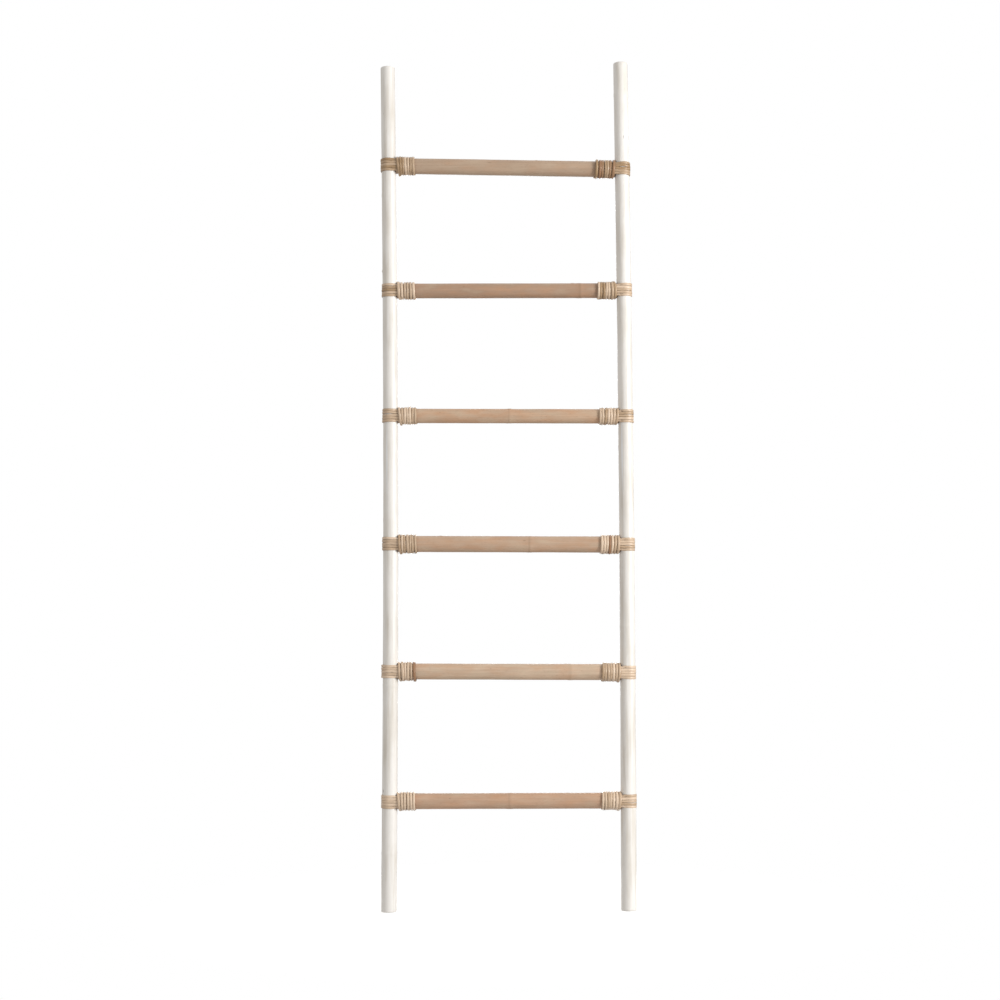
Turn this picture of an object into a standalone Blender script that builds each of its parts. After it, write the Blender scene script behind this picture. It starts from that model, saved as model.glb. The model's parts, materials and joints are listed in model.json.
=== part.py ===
"""Rattan blanket ladder: two painted poles, six rungs and twelve lashed joints.

The ladder stands upright on its two feet. +Z runs up along the poles, +X to the right along the
rungs and +Y back towards the wall that it leans on. Each rung end butts against its pole and is held
by a long screw. A flat strip of rattan peel, the strap, goes round the outer side of the pole four
times, side by side, and its passes lie along the front and back of the rung, where it is folded back
for the next pass. A winding of the same peel round the rung's end ties the passes down, and a brad
under the rung pins the winding's tail. All sizes are in metres.
"""

import math
from typing import NamedTuple

import bmesh
import bpy
from mathutils import Matrix, Vector
from mathutils.geometry import convex_hull_2d


class Rung(NamedTuple):
    """One rung: its thickness, its lift above its even place, and the drop of its right end."""

    diameter: float
    lift: float
    drop: float


# Driving dimensions. Touching pieces keep GAP between them.
GAP = 0.0003

POLE_DIAMETER = 0.0300
POLE_SPACING = 0.4746
POLE_BOW = {"left": 0.0048, "right": 0.0033}
POLE_TOP_EXTRA = {"left": 0.0, "right": 0.0064}
POLE_END_ROUNDING = 0.0020

FOOT_LENGTH = 0.2158
RUNG_PITCH = 0.2551
TOP_LENGTH = 0.2087
COPE_DEPTH = 0.0020
RUNGS = (
    Rung(0.0314, 0.0000, 0.0013),
    Rung(0.0321, 0.0003, 0.0044),
    Rung(0.0327, -0.0003, 0.0040),
    Rung(0.0292, 0.0027, 0.0037),
    Rung(0.0303, 0.0025, 0.0019),
    Rung(0.0321, 0.0000, 0.0105),
)

PEEL_WIDTH = 0.0060
PEEL_THICKNESS = 0.0018
STRAP_PASSES = 4
STRAP_LAST_BEND = math.radians(33.75)
WINDING_LENGTH = 0.0370
WINDING_OFF_POLE = 0.0010
STRAP_END_INSIDE = 0.0020

SCREW_LENGTH = 0.0500
SCREW_RADIUS = 0.0020
SCREW_HEAD_RADIUS = 0.0038
SCREW_HEAD_HEIGHT = 0.0024
SCREW_HEAD_SUNK = 0.0010
SCREW_POINT = 0.0050
SCREW_TIP_RADIUS = 0.0004

BRAD_LENGTH = 0.0140
BRAD_RADIUS = 0.0007
BRAD_HEAD_RADIUS = 0.0014
BRAD_HEAD_HEIGHT = 0.0006
BRAD_FROM_WINDING_END = 0.0040

ROUND_SIDES = 16
FASTENER_SIDES = 8
SMOOTH_BELOW = math.radians(40)

POLE_RADIUS = POLE_DIAMETER / 2
SEAT_HALF_HEIGHT = STRAP_PASSES * (PEEL_WIDTH + GAP) / 2 + 0.0040
CUTTER_OVERRUN = 0.0060
SIDES = ("left", "right")

# Finishes: (red, green, blue) as linear values, roughness, metallic.
WHITE_PAINT = ((0.78, 0.75, 0.71), 0.45, 0.0)
SANDED_RATTAN = ((0.52, 0.37, 0.26), 0.60, 0.0)
RATTAN_PEEL = ((0.66, 0.50, 0.33), 0.40, 0.0)
ZINC_STEEL = ((0.55, 0.55, 0.57), 0.35, 1.0)


def clear_scene():
    """Remove whatever the open file holds, such as the startup cube."""
    for item in list(bpy.data.objects):
        bpy.data.objects.remove(item)


def circle(radius, sides, offset):
    """Corners of a regular polygon on a circle, the first one offset steps from the first axis."""
    step = 2 * math.pi / sides
    turns = [(i + offset) * step for i in range(sides)]
    return [(radius * math.cos(turn), radius * math.sin(turn)) for turn in turns]


def turned(profile, sides, offset=0.5):
    """Rings of a solid turned about X, from its (x, radius) profile."""
    return [[Vector((x, a, b)) for a, b in circle(radius, sides, offset)] for x, radius in profile]


def add_loft(mesh, rings, matrix=Matrix(), closed=False):
    """Add a solid through a row of rings: capped at both ends, or a tube whose rings run round."""
    rows = [[mesh.verts.new(matrix @ point) for point in ring] for ring in rings]
    faces = []
    following = rows[1:] + rows[:1] if closed else rows[1:]
    for lower, upper in zip(rows, following):
        for i in range(len(lower)):
            j = (i + 1) % len(lower)
            faces.append(mesh.faces.new((lower[i], lower[j], upper[j], upper[i])))
    if not closed:
        faces.append(mesh.faces.new(rows[0]))
        faces.append(mesh.faces.new(rows[-1]))
    bmesh.ops.recalc_face_normals(mesh, faces=faces)


def make_object(name, mesh, frame, matrix=Matrix()):
    """Turn a bmesh into an object under the ladder's frame, shaded smooth across its round faces."""
    data = bpy.data.meshes.new(name)
    mesh.to_mesh(data)
    mesh.free()
    data.shade_smooth()
    data.set_sharp_from_angle(angle=SMOOTH_BELOW)
    piece = bpy.data.objects.new(name, data)
    bpy.context.scene.collection.objects.link(piece)
    piece.parent = frame
    piece.matrix_local = matrix
    return piece


def dress(piece, finish):
    """Give the piece a material of its own in one of the finishes."""
    colour, roughness, metallic = finish
    material = bpy.data.materials.new(piece.name)
    material.use_nodes = True
    shader = material.node_tree.nodes["Principled BSDF"]
    shader.inputs["Base Color"].default_value = (*colour, 1.0)
    shader.inputs["Roughness"].default_value = roughness
    shader.inputs["Metallic"].default_value = metallic
    piece.data.materials.append(material)
    return piece


def make_cutter(name, rings, frame, matrix):
    """A solid that only cuts others, left out of renders."""
    mesh = bmesh.new()
    add_loft(mesh, rings)
    cutter = make_object(name, mesh, frame, matrix)
    cutter.hide_render = True
    cutter.display_type = "WIRE"
    return cutter


def cut(piece, cutter):
    """Subtract a cutter from a piece."""
    modifier = piece.modifiers.new(cutter.name, "BOOLEAN")
    modifier.operation = "DIFFERENCE"
    modifier.object = cutter


def pole_length(side):
    """Length of a pole, which follows from where the rungs sit."""
    return FOOT_LENGTH + (len(RUNGS) - 1) * RUNG_PITCH + TOP_LENGTH + POLE_TOP_EXTRA[side]


def pole_centre(side, height):
    """X of a pole's axis at a height: the pole stands at its spacing and bows a little to the right."""
    foot = POLE_SPACING / 2 if side == "right" else -POLE_SPACING / 2
    return foot + POLE_BOW[side] * math.sin(math.pi * height / pole_length(side))


class Joint:
    """The place where a rung's end meets a pole.

    Its own frame has its origin where the two axes cross and X towards the middle of the rung. The
    upright matrix follows the pole. Tilt then turns that frame to the rung's slope.
    """

    def __init__(self, number, side):
        rung = RUNGS[number - 1]
        self.name = f"{number}_{side}"
        self.number = number
        self.side = side
        self.rung_radius = rung.diameter / 2
        ends = {end: Vector((0.0, 0.0, rung_end_height(number, end))) for end in SIDES}
        for end in SIDES:
            ends[end].x = pole_centre(end, ends[end].z)
        self.place = ends[side]
        self.rung_length = (ends["right"] - ends["left"]).length
        slope = math.asin((ends["left"].z - ends["right"].z) / self.rung_length)
        facing = 0.0 if side == "left" else math.pi
        self.upright = Matrix.Translation(self.place) @ Matrix.Rotation(facing, 4, "Z")
        self.tilt = Matrix.Rotation(slope if side == "left" else -slope, 4, "Y")
        self.along_rung = self.upright @ self.tilt


def rung_end_height(number, side):
    """Height of a rung's axis at one of its ends."""
    rung = RUNGS[number - 1]
    middle = FOOT_LENGTH + (number - 1) * RUNG_PITCH + rung.lift
    return middle + (rung.drop / 2 if side == "left" else -rung.drop / 2)


def strap_places():
    """The passes of a strap, counted from their middle: -1.5, -0.5, 0.5 and 1.5 for four."""
    return [i - (STRAP_PASSES - 1) / 2 for i in range(STRAP_PASSES)]


def strap_spread(rung_radius):
    """Angle round the rung between two legs that lie flat on it, side by side."""
    return 2 * math.atan((PEEL_WIDTH + GAP) / 2 / (rung_radius + GAP))


def strip_section(inner, out, across):
    """Corners of a strip's cross-section, from the middle of its inner face."""
    half = across * (PEEL_WIDTH / 2)
    outer = inner + out * PEEL_THICKNESS
    return [inner - half, inner + half, outer + half, outer - half]


def leg_section(joint, place, x):
    """Cross-section of a strap's back leg, flat on the rung, at a distance from the pole's axis."""
    angle = place * strap_spread(joint.rung_radius)
    out = Vector((0.0, math.cos(angle), math.sin(angle)))
    across = Vector((0.0, -math.sin(angle), math.cos(angle)))
    return strip_section(Vector((x, 0.0, 0.0)) + out * (joint.rung_radius + GAP), out, across)


def leg_start(joint, place):
    """Distance from the pole's axis at which a leg first lies flat on the rung.

    On a slim rung it is further out, so that the strap leaves the pole before its last bend.
    """
    lowest = min(corner.y for corner in leg_section(joint, place, 0.0))
    tangent = (POLE_RADIUS + GAP - lowest * math.cos(STRAP_LAST_BEND)) / math.sin(STRAP_LAST_BEND)
    return max(POLE_RADIUS - COPE_DEPTH, tangent)


def winding_start(joint):
    """Distance from the pole's axis to the near end of a winding, past the start of every leg."""
    legs = max(leg_start(joint, place) for place in strap_places())
    return max(POLE_RADIUS + WINDING_OFF_POLE, legs + GAP)


def strap_end(joint):
    """Distance from the pole's axis at which a strap's legs end and it folds back, under the winding."""
    return winding_start(joint) + WINDING_LENGTH - STRAP_END_INSIDE - PEEL_WIDTH - GAP


def fold_section(joint, place, far_to_near):
    """Cross-section halfway through a fold at the back, between this pass's leg and the next one's."""
    spread = strap_spread(joint.rung_radius)
    angle = (place + 0.5) * spread
    out = Vector((0.0, math.cos(angle), math.sin(angle)))
    middle = Vector((strap_end(joint) + GAP + PEEL_WIDTH / 2, 0.0, 0.0))
    seat = out * ((joint.rung_radius + GAP) / math.cos(spread / 2))
    return strip_section(middle + seat, out, Vector((far_to_near, 0.0, 0.0)))


def to_front(section):
    """A cross-section at the back of the joint, mirrored to its front."""
    return [Vector((corner.x, -corner.y, corner.z)) for corner in section]


def arc_directions(joint, place):
    """Directions of the pole's corners that a strap bends round, from its outer side to the back.

    The strap leaves the pole along the tangent that just clears the inner edge of its leg.
    """
    half_step = math.pi / ROUND_SIDES
    turns = [math.pi - (2 * i + 1) * half_step for i in range(ROUND_SIDES // 2)]
    directions = [Vector((math.cos(turn), math.sin(turn))) for turn in turns]
    leg = leg_section(joint, place, leg_start(joint, place))
    target = min(leg, key=lambda corner: corner.y).xy / (POLE_RADIUS + GAP)
    while (directions[-1] - directions[-2]).cross(target - directions[-1]) >= 0:
        directions.pop()
    return directions


def strap_pass(joint, place):
    """Cross-sections of one pass of a strap, from the end of its front leg to that of its back leg."""
    height = Vector((0.0, 0.0, place * (PEEL_WIDTH + GAP)))
    up = Vector((0.0, 0.0, 1.0))
    half = []
    for direction in arc_directions(joint, place):
        out = direction.to_3d()
        half.append(strip_section(out * (POLE_RADIUS + GAP) + height, out, up))
    for x in (leg_start(joint, place), strap_end(joint)):
        half.append([joint.tilt @ corner for corner in leg_section(joint, place, x)])
    front = []
    for section in reversed(half):
        front.append(to_front(section))
    return front + half


def strap_rings(joint):
    """Cross-sections of a whole strap: its passes to and fro, with a fold after all but the last."""
    rings = []
    places = strap_places()
    for i, place in enumerate(places):
        to_back = i % 2 == 0
        sections = strap_pass(joint, place)
        if not to_back:
            sections = [[section[k] for k in (1, 0, 3, 2)] for section in reversed(sections)]
        rings += sections
        if place != places[-1]:
            fold = fold_section(joint, place, -1.0 if to_back else 1.0)
            fold = [joint.tilt @ corner for corner in fold]
            rings.append(fold if to_back else to_front(fold))
    return rings


def make_strap(joint, frame):
    """The strap of a joint: one strip of peel whose passes lie side by side round the pole."""
    mesh = bmesh.new()
    add_loft(mesh, strap_rings(joint))
    return dress(make_object(f"strap_{joint.name}", mesh, frame, joint.upright), RATTAN_PEEL)


def wrapped_outline(joint):
    """Outline, in Y and Z, that a tight winding follows round the rung and its eight strap legs."""
    points = [Vector(point) for point in circle(joint.rung_radius, ROUND_SIDES, 0)]
    for place in strap_places():
        for corner in leg_section(joint, place, 0.0)[2:]:
            points.append(corner.yz)
            points.append(Vector((-corner.y, corner.z)))
    return [points[i] for i in convex_hull_2d(points)]


def grown(outline, distance):
    """A convex outline, run through anticlockwise, with every side moved out by a distance."""
    corners = []
    for i, corner in enumerate(outline):
        arriving = (corner - outline[i - 1]).normalized()
        leaving = (outline[(i + 1) % len(outline)] - corner).normalized()
        first = Vector((arriving.y, -arriving.x))
        second = Vector((leaving.y, -leaving.x))
        corners.append(corner + (first + second) * (distance / (1 + first.dot(second))))
    return corners


def winding_rings(joint):
    """Rings of a winding: out along its outer face and back along its bore."""
    outline = wrapped_outline(joint)
    inner = grown(outline, GAP)
    outer = grown(outline, GAP + PEEL_THICKNESS)
    start = winding_start(joint)
    end = start + WINDING_LENGTH
    rows = ((start, outer), (end, outer), (end, inner), (start, inner))
    return [[Vector((x, corner.x, corner.y)) for corner in row] for x, row in rows]


def make_winding(joint, frame):
    """The winding round a rung's end: its close turns of peel as one sleeve."""
    mesh = bmesh.new()
    add_loft(mesh, winding_rings(joint), closed=True)
    return dress(make_object(f"winding_{joint.name}", mesh, frame, joint.along_rung), RATTAN_PEEL)


def make_pole(side, frame):
    """A round pole with eased ends, upright where the straps seat and bowed between them."""
    length = pole_length(side)
    sections = [(0.0, POLE_RADIUS - POLE_END_ROUNDING, 0.0), (POLE_END_ROUNDING, POLE_RADIUS, 0.0)]
    for number in range(1, len(RUNGS) + 1):
        height = rung_end_height(number, side)
        for reach in (-SEAT_HALF_HEIGHT, SEAT_HALF_HEIGHT):
            sections.append((height + reach, POLE_RADIUS, height))
    sections.append((length - POLE_END_ROUNDING, POLE_RADIUS, length))
    sections.append((length, POLE_RADIUS - POLE_END_ROUNDING, length))
    foot = pole_centre(side, 0.0)
    rings = []
    for height, radius, bow_height in sections:
        shift = pole_centre(side, bow_height) - foot
        rings.append([Vector((shift + a, b, height)) for a, b in circle(radius, ROUND_SIDES, 0.5)])
    mesh = bmesh.new()
    add_loft(mesh, rings)
    pole = make_object(f"pole_{side}", mesh, frame, Matrix.Translation((foot, 0.0, 0.0)))
    return dress(pole, WHITE_PAINT)


def make_rung(number, frame):
    """A round rung between its two poles, cut square at both ends before it is coped."""
    joint = Joint(number, "left")
    end = POLE_RADIUS - COPE_DEPTH
    profile = ((end, joint.rung_radius), (joint.rung_length - end, joint.rung_radius))
    mesh = bmesh.new()
    add_loft(mesh, turned(profile, ROUND_SIDES, offset=0))
    return dress(make_object(f"rung_{number}", mesh, frame, joint.along_rung), SANDED_RATTAN)


def cope_cutter(joint, frame):
    """The pole's shape and its clearance, which hollows a rung's end to fit round the pole."""
    reach = joint.rung_radius + CUTTER_OVERRUN
    radius = POLE_RADIUS + GAP
    rings = turned(((-reach, radius), (reach, radius)), ROUND_SIDES)
    stand = joint.upright @ Matrix.Rotation(-math.pi / 2, 4, "Y")
    return make_cutter(f"cope_{joint.name}", rings, frame, stand)


def screw_profile(clearance):
    """Countersunk screw along X, from its head in the pole's outer side to its point in the rung."""
    head = SCREW_HEAD_SUNK - POLE_RADIUS * math.cos(math.pi / ROUND_SIDES)
    tip = head + SCREW_LENGTH
    profile = [
        (head, SCREW_HEAD_RADIUS + clearance),
        (head + SCREW_HEAD_HEIGHT, SCREW_RADIUS + clearance),
        (tip - SCREW_POINT, SCREW_RADIUS + clearance),
        (tip + clearance, SCREW_TIP_RADIUS + clearance),
    ]
    if clearance:
        profile.insert(0, (head - CUTTER_OVERRUN, SCREW_HEAD_RADIUS + clearance))
    return profile


def brad_profile(clearance):
    """Brad along X, from the underside of its head to its point."""
    profile = [
        (0.0, BRAD_RADIUS + clearance),
        (BRAD_LENGTH + clearance, BRAD_RADIUS + clearance),
    ]
    if clearance:
        profile.insert(0, (-CUTTER_OVERRUN, BRAD_RADIUS + clearance))
    else:
        profile[:0] = [(-BRAD_HEAD_HEIGHT, BRAD_HEAD_RADIUS), (0.0, BRAD_HEAD_RADIUS)]
    return profile


def brad_matrix(joint):
    """Place of a brad: straight up into the rung, with its head on the winding's underside."""
    surface = joint.rung_radius + (GAP + PEEL_THICKNESS) / math.cos(math.pi / ROUND_SIDES)
    along = winding_start(joint) + WINDING_LENGTH - BRAD_FROM_WINDING_END
    seat = Matrix.Translation((along, 0.0, -surface - GAP))
    return joint.along_rung @ seat @ Matrix.Rotation(-math.pi / 2, 4, "Y")


def make_fastener(name, profile, frame, matrix):
    """A screw or brad turned about its own axis."""
    mesh = bmesh.new()
    add_loft(mesh, turned(profile, FASTENER_SIDES))
    return dress(make_object(name, mesh, frame, matrix), ZINC_STEEL)


def lash(joint, pole, rung, frame):
    """Fasten a rung's end to its pole: screw, strap, winding and brad, with the holes they need."""
    winding = make_winding(joint, frame)
    brad_place = brad_matrix(joint)
    screw_rings = turned(screw_profile(GAP), FASTENER_SIDES)
    brad_rings = turned(brad_profile(GAP), FASTENER_SIDES)
    screw_hole = make_cutter(f"screw_hole_{joint.name}", screw_rings, frame, joint.along_rung)
    brad_hole = make_cutter(f"brad_hole_{joint.name}", brad_rings, frame, brad_place)
    cut(pole, screw_hole)
    cut(winding, brad_hole)
    for cutter in (cope_cutter(joint, frame), screw_hole, brad_hole):
        cut(rung, cutter)
    screw = make_fastener(f"joint_screw_{joint.name}", screw_profile(0.0), frame, joint.along_rung)
    brad = make_fastener(f"tail_brad_{joint.name}", brad_profile(0.0), frame, brad_place)
    return [make_strap(joint, frame), winding, screw, brad]


def centre_on_floor(frame, pieces):
    """Slide the ladder's frame until the middle of its box stands on the origin."""
    bpy.context.view_layer.update()
    points = [piece.matrix_world @ vertex.co for piece in pieces for vertex in piece.data.vertices]
    for axis in (0, 1):
        values = [point[axis] for point in points]
        frame.location[axis] -= (min(values) + max(values)) / 2
    frame.location[2] -= min(point.z for point in points)


def build():
    """Make every piece, cut the fits, and centre the ladder on its origin."""
    clear_scene()
    frame = bpy.data.objects.new("ladder_frame", None)
    bpy.context.scene.collection.objects.link(frame)
    poles = {side: make_pole(side, frame) for side in SIDES}
    rungs = {number: make_rung(number, frame) for number in range(1, len(RUNGS) + 1)}
    pieces = [*poles.values(), *rungs.values()]
    for number, rung in rungs.items():
        for side in SIDES:
            pieces += lash(Joint(number, side), poles[side], rung, frame)
    centre_on_floor(frame, pieces)


build()
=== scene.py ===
"""Looks of the rattan blanket ladder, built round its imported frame.

Two painted canes and six bare ones are swept along the frame's axes. Twelve joints are lashed with
strips of rattan peel that follow routes worked out from the pole's and the rung's sizes.
"""

import json
import logging
import math
import random
from dataclasses import dataclass, field
from enum import Enum
from typing import Any, Optional

import bmesh
import bpy
import numpy as np
from mathutils import Matrix, Vector


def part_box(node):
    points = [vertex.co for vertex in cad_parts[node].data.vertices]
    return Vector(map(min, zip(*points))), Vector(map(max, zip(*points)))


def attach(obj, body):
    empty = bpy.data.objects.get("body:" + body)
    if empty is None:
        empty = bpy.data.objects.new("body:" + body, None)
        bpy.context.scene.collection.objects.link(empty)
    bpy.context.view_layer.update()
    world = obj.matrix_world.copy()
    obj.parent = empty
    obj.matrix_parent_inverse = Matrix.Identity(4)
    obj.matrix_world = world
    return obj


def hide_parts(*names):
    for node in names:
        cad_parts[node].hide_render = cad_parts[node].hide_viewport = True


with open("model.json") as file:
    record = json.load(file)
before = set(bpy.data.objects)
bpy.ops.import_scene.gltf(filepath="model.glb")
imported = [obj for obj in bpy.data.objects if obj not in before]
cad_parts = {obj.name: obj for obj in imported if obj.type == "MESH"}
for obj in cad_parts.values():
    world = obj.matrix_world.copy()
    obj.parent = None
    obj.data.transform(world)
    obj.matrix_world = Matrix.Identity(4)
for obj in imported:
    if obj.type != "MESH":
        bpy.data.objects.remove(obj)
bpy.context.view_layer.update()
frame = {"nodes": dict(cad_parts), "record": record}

LOG = logging.getLogger("ladder")
MM = 0.001
Triple = tuple[float, float, float]

RUNG_COUNT = 6
POLE_SIDES = 16  # Of the CAD's poles, which are read for their thickness.
CLEARANCE = 0.1 * MM  # Between pieces that lie on one another.
SETBACK = 13 * MM  # From a pole's axis to the square end of a rung.

MATH = "ShaderNodeMath"
VECTOR_MATH = "ShaderNodeVectorMath"
RANGE = "ShaderNodeMapRange"
MIX = "ShaderNodeMix"
NOISE = "ShaderNodeTexNoise"
ATTRIBUTE = "ShaderNodeAttribute"
STORE = "GeometryNodeStoreNamedAttribute"


class Side(Enum):
    """The two poles, each with the sign of X on its outer side."""

    LEFT = -1
    RIGHT = 1

    @property
    def word(self) -> str:
        """The side's word in the names of CAD nodes."""
        return self.name.lower()


def linear(colour: str) -> tuple[float, float, float, float]:
    """Turn an sRGB hex colour into linear light.

    Args:
        colour: Six hex digits after a hash.

    Returns:
        Red, green, blue and an alpha of one.
    """
    values = [int(colour[i : i + 2], 16) / 255 for i in (1, 3, 5)]
    light = [v / 12.92 if v <= 0.04045 else ((v + 0.055) / 1.055) ** 2.4 for v in values]
    return (light[0], light[1], light[2], 1.0)


def add(tree: bpy.types.NodeTree, kind: str, inputs: Optional[dict] = None,
        **settings: Any) -> bpy.types.Node:
    """Add a node with its settings and links.

    Args:
        tree: The tree that gets the node.
        kind: The node's class name.
        inputs: Value, socket or node for each input, by name or number. A node gives its first output.
        **settings: The node's own properties.

    Returns:
        The new node.
    """
    node = tree.nodes.new(kind)
    for name, value in settings.items():
        setattr(node, name, value)
    for key, value in (inputs or {}).items():
        if isinstance(value, bpy.types.Node):
            value = next(output for output in value.outputs if output.enabled)
        if isinstance(value, bpy.types.NodeSocket):
            tree.links.new(value, node.inputs[key])
        else:
            node.inputs[key].default_value = value
    return node


# ---------------------------------------------------------------------------------------- finishes


@dataclass(frozen=True)
class Finish:
    """A surface finish that can make its own material.

    Attributes:
        name: The material's name.
        colour: The main colour, as sRGB hex.
        roughness: Middle of the roughness range.
    """

    name: str
    colour: str
    roughness: float

    def start(self) -> tuple[bpy.types.NodeTree, bpy.types.Node, bpy.types.Node]:
        """Make the material.

        Returns:
            Its tree, its Principled shader and an object coordinate node.
        """
        material = bpy.data.materials.new(self.name)
        material.use_nodes = True
        tree = material.node_tree
        shader = tree.nodes["Principled BSDF"]
        shader.inputs["Roughness"].default_value = self.roughness
        return tree, shader, add(tree, "ShaderNodeTexCoord")

    def layers(self, tree: bpy.types.NodeTree, *layers: tuple[bpy.types.Node, str]) -> bpy.types.NodeSocket:
        """Lay colours over the main one.

        Args:
            tree: The material's tree.
            *layers: For each colour, the node that says where it shows, and the colour as sRGB hex.

        Returns:
            The colour with every layer on it.
        """
        colour = linear(self.colour)
        for where, shade in layers:
            mixed = add(tree, MIX, {"Factor": where, 6: colour, 7: linear(shade)}, data_type="RGBA")
            colour = mixed.outputs[2]
        return colour

    def end(self, shader: bpy.types.Node, **sources: bpy.types.NodeSocket) -> bpy.types.Material:
        """Feed the shader.

        Args:
            shader: The material's Principled shader.
            **sources: The socket that feeds each input, with spaces as underscores.

        Returns:
            The finished material.
        """
        for key, socket in sources.items():
            shader.id_data.links.new(socket, shader.inputs[key.replace("_", " ")])
        return bpy.data.materials[self.name]

    def material(self) -> bpy.types.Material:
        """The finished material."""
        raise NotImplementedError


def stretched(coordinates: bpy.types.Node, grain: Triple) -> bpy.types.Node:
    """Scale object coordinates so that one unit is one grain.

    Args:
        coordinates: The material's object coordinate node.
        grain: Size of a grain along X, Y and Z, in metres.

    Returns:
        The mapping node.
    """
    scale = tuple(1 / size for size in grain)
    return add(coordinates.id_data, "ShaderNodeMapping", {
        "Vector": coordinates.outputs["Object"], "Scale": scale})


@dataclass(frozen=True)
class Mark:
    """A small stain or scar on a surface, or the highlight of a crease painted in as a light line.

    Attributes:
        place: Its middle, in the ladder's frame.
        size: Its half sizes along X, Y and Z.
        colour: Its colour, as sRGB hex.
        strength: How much of it shows.
        ragged: How ragged its edge is.
        grain: Size of the nicks in its edge.
    """

    place: Triple
    size: Triple
    colour: str
    strength: float = 0.6
    ragged: float = 0.9
    grain: Triple = (1.5 * MM, 1.5 * MM, 1.5 * MM)

    def mask(self, place: bpy.types.Node) -> bpy.types.Node:
        """Where the mark shows.

        Args:
            place: The material's object coordinate node.

        Returns:
            The node that gives 0 away from the mark and its strength on it.
        """
        tree = place.id_data
        away = add(tree, VECTOR_MATH, {0: place.outputs["Object"], 1: self.place}, operation="SUBTRACT")
        away = add(tree, VECTOR_MATH, {0: away, 1: self.size}, operation="DIVIDE")
        away = add(tree, VECTOR_MATH, {0: away}, operation="LENGTH")
        nicks = add(tree, NOISE, {"Vector": stretched(place, self.grain), "Scale": 1.0})
        away = add(tree, MATH, {0: nicks, 1: self.ragged, 2: away.outputs["Value"]},
                   operation="MULTIPLY_ADD")
        # The nicks add half of ragged on average, so the edge is moved out by as much.
        nicked = self.ragged / 2
        return add(tree, RANGE, {
            "Value": away, "From Min": 1.1 + nicked, "From Max": 0.15 + nicked, "To Max": self.strength},
            interpolation_type="SMOOTHSTEP")

    def layer(self, place: bpy.types.Node) -> tuple[bpy.types.Node, str]:
        """The mark as a colour layer of its material."""
        return self.mask(place), self.colour


@dataclass(frozen=True)
class BrushedPaint(Finish):
    """Satin white acrylic brushed on rattan cane: even and soft, with cane fibres showing through.

    Attributes:
        shade: The paint where it is thin.
        worn: Scuffed paint.
        marks: Stains, and the highlights of creases painted in as white lines.
        cloud: Size of the uneven patches. The poles stand, so every grain is drawn out along Z.
        stroke: Size of a brush stroke.
        speck: Size of a scuff.
        fibre: Size of a cane fibre under the paint, drawn coarse enough to show.
        peel: Size of the dimples that the brush leaves.
    """

    shade: str = "#e3dacd"
    worn: str = "#b9ada0"
    marks: tuple[Mark, ...] = ()
    cloud: Triple = (30 * MM, 30 * MM, 90 * MM)
    stroke: Triple = (4 * MM, 4 * MM, 110 * MM)
    speck: Triple = (5 * MM, 5 * MM, 14 * MM)
    fibre: Triple = (1.6 * MM, 1.6 * MM, 60 * MM)
    peel: Triple = (0.9 * MM, 0.9 * MM, 1.4 * MM)

    def material(self) -> bpy.types.Material:
        """Mix the paint, with fibre ridges under it, cloudy tone and small scuffs.

        Returns:
            The material.
        """
        tree, shader, place = self.start()
        clouds = add(tree, NOISE, {"Vector": stretched(place, self.cloud), "Scale": 1.0, "Detail": 3.0})
        strokes = add(tree, NOISE, {"Vector": stretched(place, self.stroke), "Scale": 1.0, "Detail": 3.0})
        mixed = add(tree, MATH, {0: strokes, 1: clouds}, operation="ADD")
        thin = add(tree, RANGE, {"Value": mixed, "From Min": 0.88, "From Max": 1.3})
        specks = add(tree, NOISE, {"Vector": stretched(place, self.speck), "Scale": 1.0, "Detail": 2.0})
        scuffs = add(tree, RANGE, {"Value": specks, "From Min": 0.72, "From Max": 0.8, "To Max": 0.35})
        fibres = add(tree, NOISE, {"Vector": stretched(place, self.fibre), "Scale": 1.0, "Detail": 4.0})
        dimples = add(tree, NOISE, {"Vector": stretched(place, self.peel), "Scale": 1.0})
        height = add(tree, MATH, {0: fibres, 1: dimples}, operation="ADD")
        bump = add(tree, "ShaderNodeBump", {"Strength": 0.35, "Distance": 0.25 * MM, "Height": height})
        gloss = add(tree, RANGE, {
            "Value": clouds, "To Min": self.roughness - 0.06, "To Max": self.roughness + 0.08})
        colour = self.layers(
            tree, (thin, self.shade), (scuffs, self.worn), *(mark.layer(place) for mark in self.marks))
        return self.end(shader, Base_Color=colour, Roughness=gloss.outputs[0], Normal=bump.outputs[0])


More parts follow.
